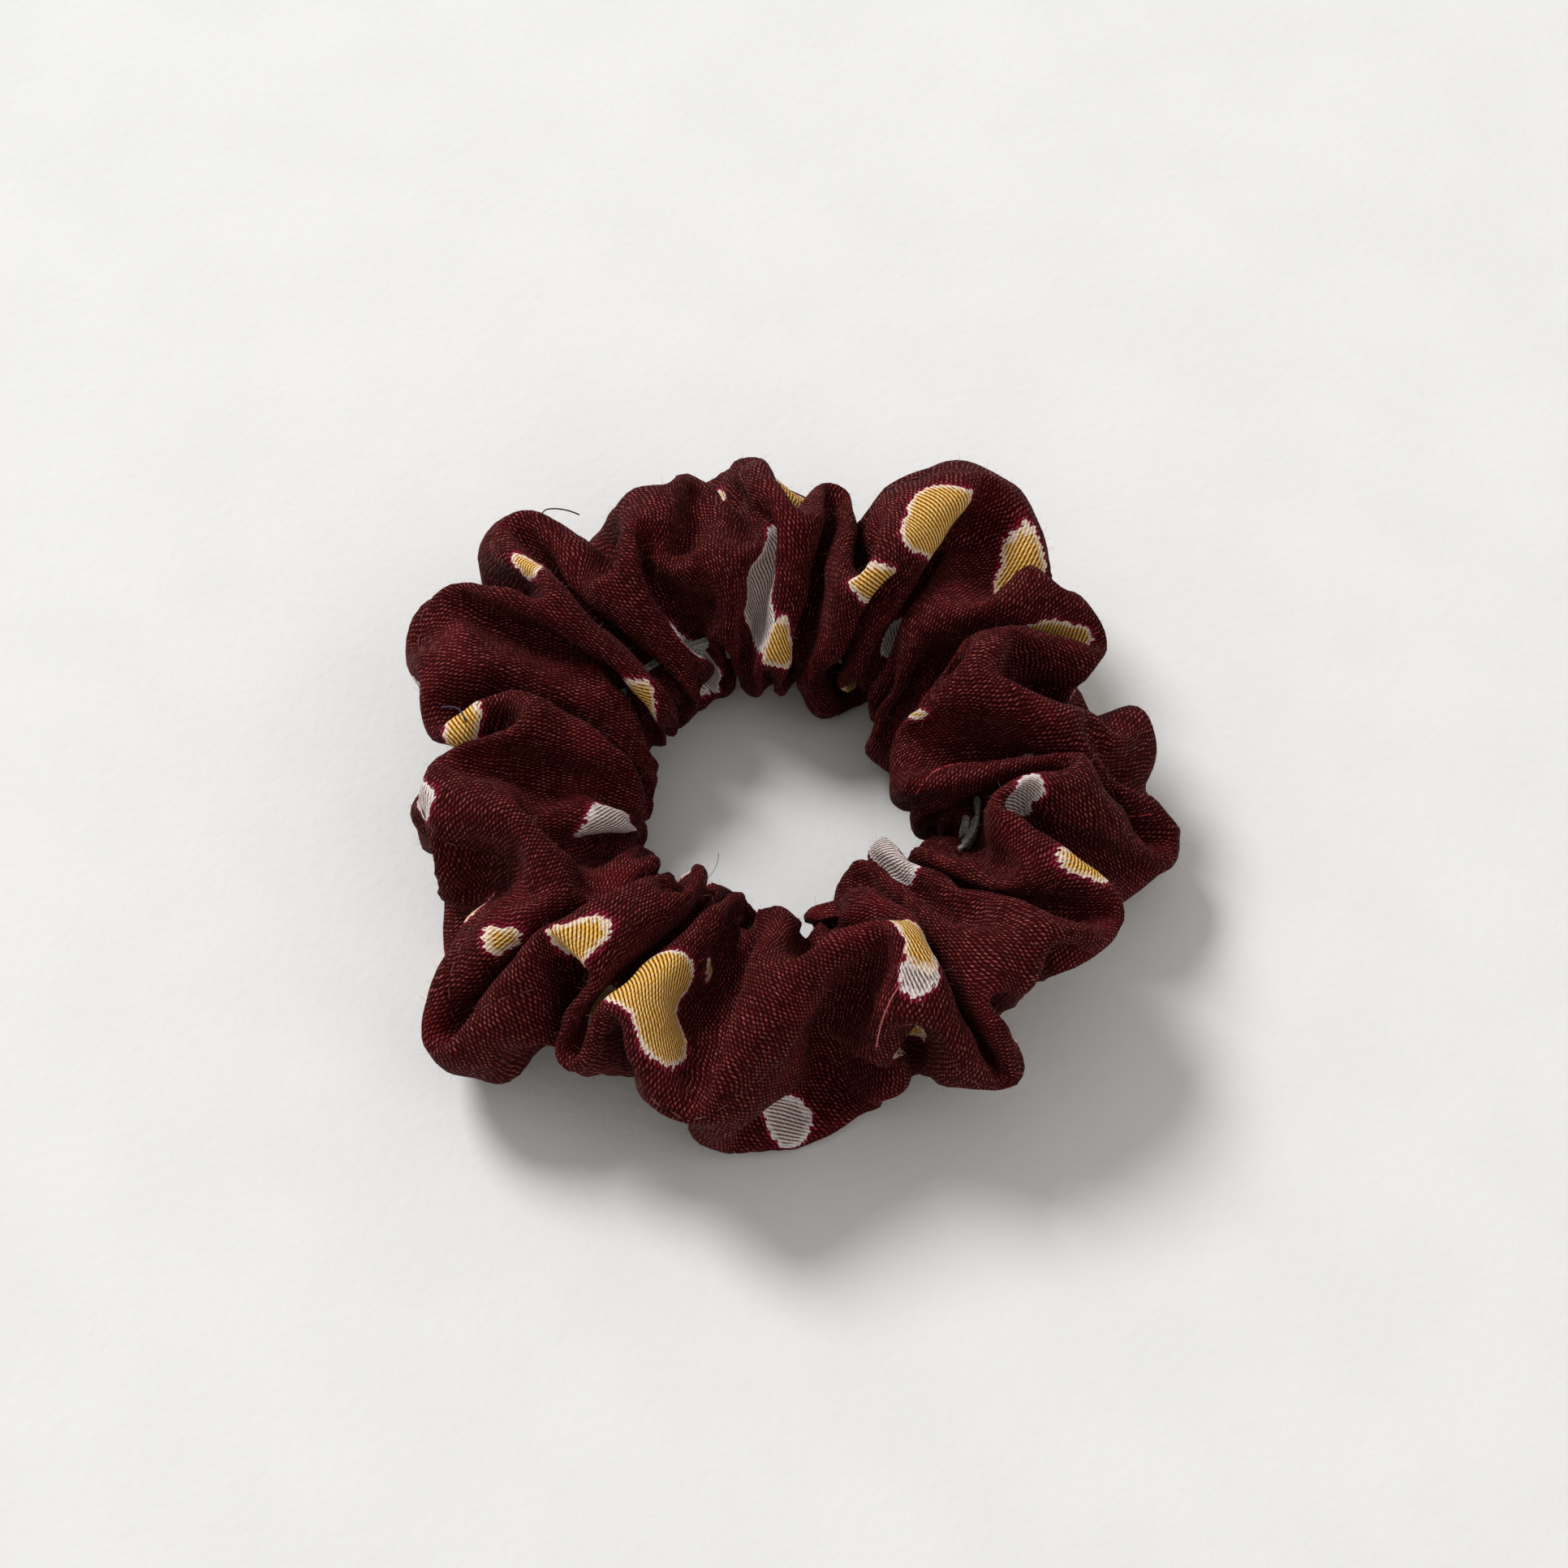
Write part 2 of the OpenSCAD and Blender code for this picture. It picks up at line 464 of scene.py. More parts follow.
insideRays = [Vector(ray).normalized() for ray in ((0, 0.02, 1), (0.6, 0.8, 0.03), (-0.7, 0.3, -0.65))]


class ClothSurface:
    # finds points and normals on the finished cover from places on the flat cloth

    def __init__(self, cover, facts):
        self.length, self.girth = facts["length"], facts["girth"]
        self.stops, self.ribs = facts["stops"] * 2, facts["ribs"] * 2
        mesh = cover.data
        stop, rib = clothPlaces(mesh, facts)
        self.index = np.zeros((self.stops, self.ribs), dtype=int)
        self.index[stop, rib] = np.arange(len(mesh.vertices))
        self.vertexAlong = stop / self.stops * self.length
        self.vertexAcross = rib / self.ribs * self.girth
        self.points = readPoints(mesh)[self.index]
        normals = np.zeros(len(mesh.vertices) * 3)
        mesh.vertices.foreach_get("normal", normals)
        self.normals = normals.reshape(-1, 3)[self.index]
        self.tree = BVHTree.FromObject(cover, bpy.context.evaluated_depsgraph_get())
        self.mesh = mesh

    def atAll(self, along, across):
        # points and normals at places in millimetres along and across the strip
        i, j = along / self.length * self.stops, across / self.girth * self.ribs
        i0, j0 = np.floor(i).astype(int), np.floor(j).astype(int)
        fi, fj = (i - i0)[..., None], (j - j0)[..., None]
        points, normals = 0, 0
        for di, wi in ((0, 1 - fi), (1, fi)):
            for dj, wj in ((0, 1 - fj), (1, fj)):
                k = ((i0 + di) % self.stops, (j0 + dj) % self.ribs)
                points = points + wi * wj * self.points[k]
                normals = normals + wi * wj * self.normals[k]
        return points, normals

    def at(self, along, across):
        point, normal = self.atAll(np.array(along), np.array(across))
        return Vector(point), Vector(normal).normalized()

    def seenAt(self, x, y, height=15.0):
        # the place on the strip that the camera sees at x, y and a height, all in millimetres
        goal = Vector((x, y, height)) * millimetre
        ray = (goal - camera.location).normalized()
        hit, normal, face, far = self.tree.ray_cast(camera.location, ray)
        if hit is None:
            return None
        corner = min(self.mesh.polygons[face].vertices,
                     key=lambda v: (self.mesh.vertices[v].co - hit).length)
        return self.vertexAlong[corner], self.vertexAcross[corner]

    def seenPoint(self, x, y, height=15.0):
        # the point of the cloth that the camera sees there, or the goal itself if it sees none
        goal = Vector((x, y, height)) * millimetre
        hit, normal, face, far = self.tree.ray_cast(camera.location, (goal - camera.location).normalized())
        return goal if hit is None else hit

    def encloses(self, point):
        # whether a point is inside the tube, by the cloth that three rays pass
        votes = 0
        for heading in insideRays:
            place, passed = point, 0
            hit = self.tree.ray_cast(place, heading)[0]
            while hit is not None:
                passed += 1
                hit = self.tree.ray_cast(hit + heading * 1e-7, heading)[0]
            votes += passed % 2
        return votes > 1

    def above(self, place, lift):
        # a point that stands a few millimetres above the cloth or the floor under it
        high = Vector((place.x, place.y, 0.1))
        hit, normal, face, far = self.tree.ray_cast(high, Vector((0, 0, -1)))
        level = 0 if hit is None else hit.z
        return Vector((place.x, place.y, level + lift * millimetre))


surface = ClothSurface(cover, coverCloth)


# printed spots

# where the camera sees each spot: x, y, width, length, turn in degrees
yellowSpots = [
    (-30, 29, 3.6, 3.2, 0), (-16, 10, 3.0, 5.2, 0), (-37, 6, 3.6, 6.5, 10), (0, 17, 4.0, 4.6, 0),
    (11, 26, 3.8, 6.4, 30), (19, 34, 8.5, 9.0, 0), (28, 29, 4.0, 10.0, 60), (15, 8, 1.6, 2.6, 0),
    (34, -12, 3.6, 6.5, -20), (-3, -15, 4.0, 6.0, 10), (15, -21, 3.6, 7.0, 40), (-24, -22, 4.0, 9.0, 0),
    (-31, -22, 2.4, 3.4, 0), (-14, -29, 9.0, 11.0, 15), (-8, -25, 2.0, 3.2, 0),
]
whiteSpots = [
    (-20, 38, 3.0, 4.0, 0), (2, 40, 3.0, 4.0, 0), (-2, 26, 7.0, 11.0, 20), (26, -3, 4.0, 7.0, -20),
    (12, -11, 5.4, 7.0, 0), (-19, -7, 5.0, 7.5, 0), (15, -26, 3.2, 3.8, 0), (0, -44, 4.2, 5.0, 0),
    (28, -32, 4.4, 5.4, 0), (-27, -42, 3.6, 5.0, 0), (-41, -3, 3.0, 4.0, 0),
]
hiddenPrint = dict(along=26, across=5, drift=5.0, apart=13.0, widths=(5.0, 9.0), share=0.6, growth=1.25)


def wrapped(away, whole):
    # the shorter way round the closed cloth
    return (away + whole / 2) % whole - whole / 2


def spotDistance(surface, spots, seed):
    # distance in millimetres from each mesh point to the nearest spot's edge, negative inside
    dice = np.random.default_rng(seed)
    nearest = np.full(len(surface.vertexAlong), 50.0)
    for along, across, width, length, turn in spots:
        a = wrapped(surface.vertexAlong - along, surface.length)
        b = wrapped(surface.vertexAcross - across, surface.girth)
        tilt = math.radians(turn)
        p, q = a * math.cos(tilt) + b * math.sin(tilt), b * math.cos(tilt) - a * math.sin(tilt)
        facing = np.arctan2(q, p)
        lumps = dice.uniform(0, fullTurn, 3)
        edge = 1 + 0.12 * np.sin(2 * facing + lumps[0]) + 0.12 * np.sin(3 * facing + lumps[1])
        edge += 0.06 * np.sin(5 * facing + lumps[2])
        away = np.hypot(p / width * 2, q / length * 2)
        nearest = np.minimum(nearest, (away - edge) * min(width, length) / 2)
    return nearest


def placeSpots(surface, seen):
    found = []
    for x, y, width, length, turn in seen:
        place = surface.seenAt(x, y)
        if place is None:
            print("spot off the cloth", x, y)
            continue
        found.append((*place, width * hiddenPrint["growth"], length * hiddenPrint["growth"], turn))
    return found


def hiddenSpots(surface, facts, taken):
    # the rest of the print, on the folds that the camera can't see
    dice = np.random.default_rng(12)
    made = {"yellow": [], "white": []}
    for i in range(facts["along"]):
        for j in range(facts["across"]):
            along = (i + 0.5 * (j % 2)) / facts["along"] * surface.length + dice.normal(0, facts["drift"] / 2)
            across = j / facts["across"] * surface.girth + dice.normal(0, facts["drift"] / 2)
            size, tilt = dice.uniform(*facts["widths"]), dice.uniform(-40, 40)
            colour = "yellow" if dice.random() < facts["share"] else "white"
            clear = all(math.hypot(wrapped(along - a, surface.length), wrapped(across - b, surface.girth))
                        > facts["apart"] for a, b, *rest in taken)
            if clear and not inView(surface, along, across):
                made[colour].append((along, across, size, size * dice.uniform(1.0, 1.5), tilt))
    return made


def inView(surface, along, across):
    point, normal = surface.at(along, across)
    ray = point - camera.location
    hit, _, _, _ = surface.tree.ray_cast(camera.location, ray.normalized())
    return hit is not None and (hit - point).length < 3 * millimetre


def writeDistance(mesh, name, values):
    mesh.attributes.new(name, "FLOAT", "POINT").data.foreach_set("value", values.astype(np.float32))


yellows, whites = placeSpots(surface, yellowSpots), placeSpots(surface, whiteSpots)
others = hiddenSpots(surface, hiddenPrint, yellows + whites)
writeDistance(cover.data, "yellowPrint", spotDistance(surface, yellows + others["yellow"], 4))
writeDistance(cover.data, "whitePrint", spotDistance(surface, whites + others["white"], 9))
hiddenCount = len(others["yellow"]) + len(others["white"])
print("spots printed", len(yellows) + len(whites), "seen,", hiddenCount, "hidden")


# node building

def addNode(tree, kind, **settings):
    node = tree.nodes.new(kind)
    for key, value in settings.items():
        setattr(node, key, value)
    return node


def feed(tree, value, socket):
    if isinstance(value, bpy.types.NodeSocket):
        tree.links.new(value, socket)
    else:
        socket.default_value = value


def calc(tree, operation, *values, clamp=False):
    node = addNode(tree, "ShaderNodeMath", operation=operation, use_clamp=clamp)
    for value, socket in zip(values, node.inputs):
        feed(tree, value, socket)
    return node.outputs[0]


def times(tree, first, second):
    return calc(tree, "MULTIPLY", first, second)


def ramp(tree, value, low, high, start=0.0, end=1.0):
    node = addNode(tree, "ShaderNodeMapRange", clamp=True, interpolation_type="SMOOTHSTEP")
    for given, socket in zip((value, low, high, start, end), node.inputs):
        feed(tree, given, socket)
    return node.outputs[0]


def blendColour(tree, amount, first, second):
    node = addNode(tree, "ShaderNodeMix", data_type="RGBA", clamp_factor=True)
    feed(tree, amount, node.inputs[0])
    feed(tree, first, node.inputs[6])
    feed(tree, second, node.inputs[7])
    return node.outputs[2]


def noise(tree, place, scale, detail=2.0, stretch=None):
    if stretch:
        mapping = addNode(tree, "ShaderNodeMapping")
        mapping.inputs["Scale"].default_value = stretch
        tree.links.new(place, mapping.inputs["Vector"])
        place = mapping.outputs[0]
    node = addNode(tree, "ShaderNodeTexNoise")
    tree.links.new(place, node.inputs["Vector"])
    node.inputs["Scale"].default_value = scale
    node.inputs["Detail"].default_value = detail
    return node.outputs[0]


def clothPlace(tree, length, girth):
    # a place on the piece's own flat map, in millimetres
    cloth = addNode(tree, "ShaderNodeUVMap", uv_map="clothMap")
    mapping = addNode(tree, "ShaderNodeMapping")
    mapping.inputs["Scale"].default_value = (length, girth, 1)
    tree.links.new(cloth.outputs[0], mapping.inputs["Vector"])
    return mapping.outputs[0]


def addRelief(tree, shader, height, strength, distance):
    # raises a pattern by a distance in millimetres
    relief = addNode(tree, "ShaderNodeBump")
    relief.inputs["Strength"].default_value = strength
    relief.inputs["Distance"].default_value = distance * millimetre
    tree.links.new(height, relief.inputs["Height"])
    tree.links.new(relief.outputs[0], shader.inputs["Normal"])


def makeGroup(name, inputs, outputs):
    tree = bpy.data.node_groups.new(name, "ShaderNodeTree")
    for socket, kind in inputs:
        tree.interface.new_socket(socket, in_out="INPUT", socket_type=kind)
    for socket in outputs:
        tree.interface.new_socket(socket, in_out="OUTPUT", socket_type="NodeSocketFloat")
    return tree, addNode(tree, "NodeGroupInput").outputs, addNode(tree, "NodeGroupOutput").inputs


def useGroup(tree, group, **values):
    node = addNode(tree, "ShaderNodeGroup", node_tree=group)
    for key, value in values.items():
        feed(tree, value, node.inputs[key])
    return node.outputs


def makeWeave():
    # slanted dashes of yarn in staggered columns, on oblique strands with gaps between them, where the cloth
    # paints highlights on the dashes and strands and shade in the gaps
    tree, given, put = makeGroup("crepeWeave",
                                 [("Place", "NodeSocketVector"), ("Column", "NodeSocketFloat"),
                                  ("Step", "NodeSocketFloat"), ("Stagger", "NodeSocketFloat")],
                                 ["Height", "HighlightFleck", "Gap", "Strand", "Slit", "Slub"])
    place = given["Place"]
    axes = addNode(tree, "ShaderNodeSeparateXYZ")
    tree.links.new(place, axes.inputs[0])
    sway = times(tree, calc(tree, "SUBTRACT", noise(tree, place, 0.35, 2.0), 0.5), 1.2)
    along = calc(tree, "DIVIDE", calc(tree, "ADD", axes.outputs[0], sway), given["Column"])
    across = calc(tree, "DIVIDE", calc(tree, "SUBTRACT", axes.outputs[1], sway), given["Step"])
    column = calc(tree, "ROUND", along)
    step = calc(tree, "MULTIPLY_ADD", column, given["Stagger"], across)
    dash = calc(tree, "ROUND", step)
    down = calc(tree, "SUBTRACT", step, dash)
    aside = calc(tree, "MULTIPLY_ADD", down, 0.40, calc(tree, "SUBTRACT", along, column))
    cell = addNode(tree, "ShaderNodeCombineXYZ")
    tree.links.new(column, cell.inputs[0])
    tree.links.new(dash, cell.inputs[1])
    chance = addNode(tree, "ShaderNodeTexWhiteNoise", noise_dimensions="2D")
    tree.links.new(cell.outputs[0], chance.inputs["Vector"])
    wide, tall = calc(tree, "DIVIDE", aside, 0.20), calc(tree, "DIVIDE", down, 0.46)
    apart = calc(tree, "ADD", times(tree, wide, wide), times(tree, tall, tall))
    apart = calc(tree, "SQRT", apart)
    slub = noise(tree, place, 1.0, 2.0, stretch=(1.6, 0.8, 1))
    patch = noise(tree, place, 0.3, 2.0)
    bright = times(tree, ramp(tree, apart, 1.0, 0.35), ramp(tree, chance.outputs[0], -0.2, 0.8))
    bright = times(tree, bright, ramp(tree, slub, 0.30, 0.62, 0.25, 1.0))
    bright = times(tree, bright, ramp(tree, patch, 0.25, 0.6, 0.45, 1.0))
    feed(tree, bright, put["HighlightFleck"])
    feed(tree, ramp(tree, apart, 1.05, 1.75), put["Gap"])
    oblique = calc(tree, "MULTIPLY_ADD", along, given["Stagger"], across)
    strand = calc(tree, "ABSOLUTE", calc(tree, "SUBTRACT", oblique, calc(tree, "ROUND", oblique)))
    shine = ramp(tree, slub, 0.25, 0.6, 0.4, 1.0)
    feed(tree, times(tree, ramp(tree, strand, 0.24, 0.06), shine), put["Strand"])
    feed(tree, times(tree, ramp(tree, strand, 0.25, 0.40),
                    ramp(tree, calc(tree, "ABSOLUTE", aside), 0.05, 0.22)), put["Slit"])
    raised = ramp(tree, strand, 0.5, 0.0, 0.0, 0.35)
    feed(tree, calc(tree, "ADD", ramp(tree, apart, 1.7, 0.2), raised), put["Height"])
    feed(tree, slub, put["Slub"])
    return tree


def makePrintEdge():
    # turns the distance to a printed spot into its inside, its pale rim and its pink halo
    tree, given, put = makeGroup("printEdge",
                                 [("Place", "NodeSocketVector"), ("Distance", "NodeSocketFloat")],
                                 ["Inside", "Rim", "Halo"])
    threads = noise(tree, given["Place"], 2.6, 2.0, stretch=(1.0, 0.35, 1))
    ragged = calc(tree, "MULTIPLY_ADD", calc(tree, "SUBTRACT", threads, 0.5), 1.6, given["Distance"])
    feed(tree, ramp(tree, ragged, 0.06, -0.06), put["Inside"])
    feed(tree, ramp(tree, ragged, -0.8, 0.0), put["Rim"])
    feed(tree, ramp(tree, ragged, 0.7, 0.1), put["Halo"])
    return tree


def makeSeamPucker():
    # the needle's dents along the long seam
    tree, given, put = makeGroup("seamPucker",
                                 [("Place", "NodeSocketVector"), ("Seam", "NodeSocketFloat"),
                                  ("Stitch", "NodeSocketFloat")], ["Groove"])
    axes = addNode(tree, "ShaderNodeSeparateXYZ")
    tree.links.new(given["Place"], axes.inputs[0])
    beside = calc(tree, "ABSOLUTE", calc(tree, "SUBTRACT", axes.outputs[1], given["Seam"]))
    beat = calc(tree, "DIVIDE", times(tree, axes.outputs[0], fullTurn), given["Stitch"])
    beat = calc(tree, "SINE", beat)
    deep = calc(tree, "MULTIPLY_ADD", beat, 0.3, 0.7)
    feed(tree, times(tree, ramp(tree, beside, 0.6, 0.0), deep), put["Groove"])
    return tree


def makePly():
    # the twist of a spun thread
    tree, given, put = makeGroup("plyTwist", [("Place", "NodeSocketVector"), ("Turns", "NodeSocketFloat")],
                                 ["Height", "Shade"])
    wave = addNode(tree, "ShaderNodeTexWave", wave_type="BANDS", bands_direction="DIAGONAL")
    tree.links.new(given["Place"], wave.inputs["Vector"])
    feed(tree, given["Turns"], wave.inputs["Scale"])
    wave.inputs["Distortion"].default_value = 1.5
    feed(tree, wave.outputs["Fac"], put["Height"])
    feed(tree, noise(tree, given["Place"], 2500.0, 2.0), put["Shade"])
    return tree


weave, printEdge, seamPucker, plyTwist = makeWeave(), makePrintEdge(), makeSeamPucker(), makePly()


def newMaterial(name):
    material = bpy.data.materials.new(name)
    material.use_nodes = True
    tree = material.node_tree
    return material, tree, tree.nodes["Principled BSDF"]


clothLook = dict(
    column=0.47,                 # from one column of dashes to the next, millimetres
    step=0.64,                   # from dash to dash in a column
    stagger=0.81,
    deepRed=(0.036, 0.0012, 0.0018, 1),
    warmRed=(0.075, 0.0030, 0.0042, 1),
    crimson=(0.140, 0.0040, 0.0090, 1),
    fleckHighlight=(0.50, 0.150, 0.125, 1),
    gap=(0.010, 0.0004, 0.0008, 1),
    halo=(0.290, 0.0090, 0.0400, 1),
    mustard=(0.70, 0.33, 0.030, 1),
    mustardHighlight=(1.0, 0.86, 0.45, 1),
    mustardGapShade=(0.085, 0.020, 0.002, 1),
    pale=(0.50, 0.40, 0.37, 1),
    paleHighlightAndRim=(0.98, 0.92, 0.89, 1),
    paleGapShade=(0.085, 0.048, 0.042, 1),
)


def makeClothMaterial(look, facts):
    material, tree, shader = newMaterial("printedCrepe")
    place = clothPlace(tree, facts["length"], facts["girth"])
    yarns = useGroup(tree, weave, Place=place, Column=look["column"], Step=look["step"],
                     Stagger=look["stagger"])
    seam = useGroup(tree, seamPucker, Place=place, Seam=facts["seamTurn"] / 360 * facts["girth"],
                    Stitch=facts["stitch"])
    prints = []
    for attribute, body, light, dark in (("whitePrint", "pale", "paleHighlightAndRim", "paleGapShade"),
                                         ("yellowPrint", "mustard", "mustardHighlight", "mustardGapShade")):
        distance = addNode(tree, "ShaderNodeAttribute", attribute_name=attribute)
        edge = useGroup(tree, printEdge, Place=place, Distance=distance.outputs["Fac"])
        # painted shade in the slits between the print's yarns
        spot = blendColour(tree, yarns["Slit"], look[body], look[dark])
        # painted highlights on the print's strands and yarn dashes; the pale rim after them is the print's
        # own ragged edge
        spot = blendColour(tree, times(tree, yarns["Strand"], 0.55), spot, look[light])
        spot = blendColour(tree, times(tree, yarns["HighlightFleck"], 0.9), spot, look[light])
        spot = blendColour(tree, times(tree, edge["Rim"], 0.55), spot, look["paleHighlightAndRim"])
        prints.append((edge["Halo"], edge["Inside"], spot))
    ground = blendColour(tree, ramp(tree, yarns["Slub"], 0.32, 0.70), look["deepRed"], look["warmRed"])
    patches = noise(tree, place, 0.12, 3.0)
    patches = times(tree, ramp(tree, patches, 0.50, 0.75), 0.6)
    ground = blendColour(tree, patches, ground, look["crimson"])
    for halo, inside, spot in prints:
        ground = blendColour(tree, times(tree, halo, 0.85), ground, look["halo"])
    # painted shade in the gaps between the yarns
    ground = blendColour(tree, times(tree, yarns["Gap"], 0.75), ground, look["gap"])
    # painted highlight: the yarn dashes are lifted toward pale tan in place of a specular shine, which is
    # kept low
    colour = blendColour(tree, times(tree, yarns["HighlightFleck"], 0.75), ground, look["fleckHighlight"])
    for halo, inside, spot in prints:
        colour = blendColour(tree, inside, colour, spot)
    # painted shade in the long seam's groove
    shade = times(tree, seam["Groove"], 0.45)
    colour = blendColour(tree, shade, colour, look["gap"])
    tree.links.new(colour, shader.inputs["Base Color"])
    feed(tree, ramp(tree, yarns["HighlightFleck"], 0.0, 1.0, 0.86, 0.46), shader.inputs["Roughness"])
    shader.inputs["Specular IOR Level"].default_value = 0.06
    shader.inputs["Sheen Weight"].default_value = 0.03
    shader.inputs["Sheen Roughness"].default_value = 0.45
    shader.inputs["Sheen Tint"].default_value = (0.80, 0.30, 0.28, 1)
    crinkle = times(tree, noise(tree, place, 0.6, 3.0, stretch=(1.0, 0.5, 1)), 1.5)
    height = calc(tree, "MULTIPLY_ADD", yarns["Height"], 0.5, crinkle)
    height = calc(tree, "MULTIPLY_ADD", seam["Groove"], -0.8, height)
    addRelief(tree, shader, height, 0.75, 0.16)
    return material


def makeThreadMaterial(name, colour, light, turns=1400.0):
    material, tree, shader = newMaterial(name)
    place = addNode(tree, "ShaderNodeTexCoord").outputs["Object"]
    ply = useGroup(tree, plyTwist, Place=place, Turns=turns)
    # painted highlight: the thread is lighter on the raised crests of its twist, in patches set by noise
    amount = times(tree, ply["Height"], ply["Shade"])
    tree.links.new(blendColour(tree, amount, colour, light), shader.inputs["Base Color"])
    feed(tree, ramp(tree, ply["Height"], 0.0, 1.0, 0.75, 0.5), shader.inputs["Roughness"])
    addRelief(tree, shader, ply["Height"], 0.5, 0.05)
    return material


def makeElasticMaterial(facts):
    # braided elastic: chevrons of shiny yarn, with a painted highlight on each and darker grey between them
    material, tree, shader = newMaterial("braidedElastic")
    place = clothPlace(tree, facts["loop"], 2 * (facts["width"] + facts["thick"]))
    yarns = useGroup(tree, weave, Place=place, Column=facts["braid"], Step=2 * facts["braid"], Stagger=0.5)
    colour = blendColour(tree, yarns["Gap"], (0.80, 0.79, 0.75, 1), (0.42, 0.40, 0.36, 1))
    # painted highlight on the yarn dashes
    colour = blendColour(tree, times(tree, yarns["HighlightFleck"], 0.6), colour, (0.93, 0.92, 0.90, 1))
    tree.links.new(colour, shader.inputs["Base Color"])
    feed(tree, ramp(tree, yarns["HighlightFleck"], 0.0, 1.0, 0.8, 0.5), shader.inputs["Roughness"])
    addRelief(tree, shader, yarns["Height"], 1.0, 0.2)
    return material


cover.data.materials.clear()
cover.data.materials.append(makeClothMaterial(clothLook, coverCloth))
wall = cover.modifiers.new("thickness", "SOLIDIFY")
wall.thickness = coverCloth["thickness"] * millimetre
wall.offset = -1
print("cloth finished")


# stitches

threadFacts = dict(
    radius=0.10,
    needleLength=1.5,
    proud=0.03,                  # how far a stitch stands off the cloth
    closingAlong=2.0,            # the closing row's distance from the end of the tube
    closingPitch=1.8,
    closingTop=(3.0, 39.0),      # the part of the girth that the upper row crosses
    closingUnder=(45.0, 81.0),
)


def makeStitch():
    # one machine stitch: a bead of radius 1 that each copy draws out along the thread
    bm = bmesh.new()
    bmesh.ops.create_uvsphere(bm, u_segments=8, v_segments=8, radius=1,
                              matrix=Matrix.Rotation(math.pi / 2, 4, "Y"))
    return meshFrom(bm, "stitch")


def stitchRow(name, surface, places, length, facts, side):
    # places along the cloth as pairs; side 1 is the outside and -1 the inside
    depth = facts["proud"] if side > 0 else -facts["proud"] - coverCloth["thickness"]
    row = []
    for (a0, b0), (a1, b1) in places:
        start, upStart = surface.at(a0, b0)
        end, upEnd = surface.at(a1, b1)
        up = (upStart + upEnd).normalized()
        point = (start + end) / 2 + up * depth * millimetre
        size = (length / 2 * millimetre, facts["radius"] * millimetre, facts["radius"] * millimetre)
        if (end - start).length > 0.2 * length * millimetre:
            row.append(placeAt(point, end - start, up, size))
    return copies(makeStitch(), row, name)


def longSeamPlaces(facts, shift):
    seam = facts["seamTurn"] / 360 * facts["girth"]
    count = int(facts["length"] / facts["stitch"])
    step = facts["length"] / count
    half = 0.5 * threadFacts["needleLength"]
    return [(((i + shift) * step - half, seam), ((i + shift) * step + half, seam)) for i in range(count)]


def closingPlaces(facts, part):
    low, high = facts[part]
    count = int((high - low) / facts["closingPitch"])
    half = 0.35 * facts["closingPitch"]
    rows = [low + (i + 0.5) * facts["closingPitch"] for i in range(count)]
    return [((facts["closingAlong"], b - half), (facts["closingAlong"], b + half)) for b in rows]


dullRed = makeThreadMaterial("seamThread", (0.070, 0.004, 0.006, 1), (0.22, 0.035, 0.035, 1))
brightRed = makeThreadMaterial("closingThread", (0.45, 0.012, 0.022, 1), (0.85, 0.14, 0.12, 1))
needleStitches = stitchRow("seamNeedleStitches", surface, longSeamPlaces(coverCloth, 0.0),
                           threadFacts["needleLength"], threadFacts, 1)
bobbinStitches = stitchRow("seamBobbinStitches", surface, longSeamPlaces(coverCloth, 0.5),
                           threadFacts["needleLength"], threadFacts, -1)
closingLength = 0.9 * threadFacts["closingPitch"]
closingUpper = stitchRow("closingNeedleStitches", surface, closingPlaces(threadFacts, "closingTop"),
                         closingLength, threadFacts, 1)
closingUnder = stitchRow("closingBobbinStitches", surface, closingPlaces(threadFacts, "closingUnder"),
                         closingLength, threadFacts, 1)
for piece in (needleStitches, bobbinStitches):
    piece.data.materials.append(dullRed)
for piece in (closingUpper, closingUnder):
    piece.data.materials.append(brightRed)
print("seams sewn")


# elastic

elasticFacts = dict(
    width=5.0,
    thick=1.0,
    loop=128.0,
    braid=0.35,
    bearings=72,                 # directions in which the elastic's place is sought
    radii=(20.5, 26.5, 0.6),
    heights=(7.0, 13.0, 0.8),
    stops=160,
    lap=10.0,                    # overlap of the two ends
    zigzags=6,
)


def elasticPath(surface, facts):
    # the smoothest way for the elastic round the inside of the tube, as radius and height by direction
    turns = np.arange(facts["bearings"]) * fullTurn / facts["bearings"]
    cells = [(radius, height) for radius in np.arange(*facts["radii"])
             for height in np.arange(*facts["heights"])]
    bare = np.zeros((len(turns), len(cells)))
    for i, turn in enumerate(turns):
        for j, (radius, height) in enumerate(cells):
            for up in (-0.4, 0, 0.4):
                level = height + up * facts["width"]
                place = Vector((radius * math.cos(turn), radius * math.sin(turn), level))
                bare[i, j] += not surface.encloses(place * millimetre)
    where = np.array(cells)
    move = ((where[:, None] - where[None]) ** 2).sum(2) * 0.5
    start = np.abs(where[:, 0] - facts["radii"][0]) * 0.05
    cost, chosen = start.copy(), []
    for lap in range(3 * len(turns)):
        total = cost[None, :] + move
        chosen.append(total.argmin(axis=1))
        cost = total.min(axis=1) + bare[lap % len(turns)] ** 2 + start
    cell, route = int(cost.argmin()), []
    for back in reversed(chosen):
        route.append(cell)
        cell = int(back[cell])
    route = np.array(route[::-1][len(turns):2 * len(turns)])
    shown = bare[np.arange(len(turns)), route].sum()
    print("elastic routed, bare at", int(shown), "of", 3 * len(turns), "places")
    smooth = np.array([1, 2, 3, 2, 1]) / 9
    radius, height = (sum(weight * np.roll(where[route, k], shift)
                          for shift, weight in zip(range(-2, 3), smooth)) for k in (0, 1))
    return turns, radius, height


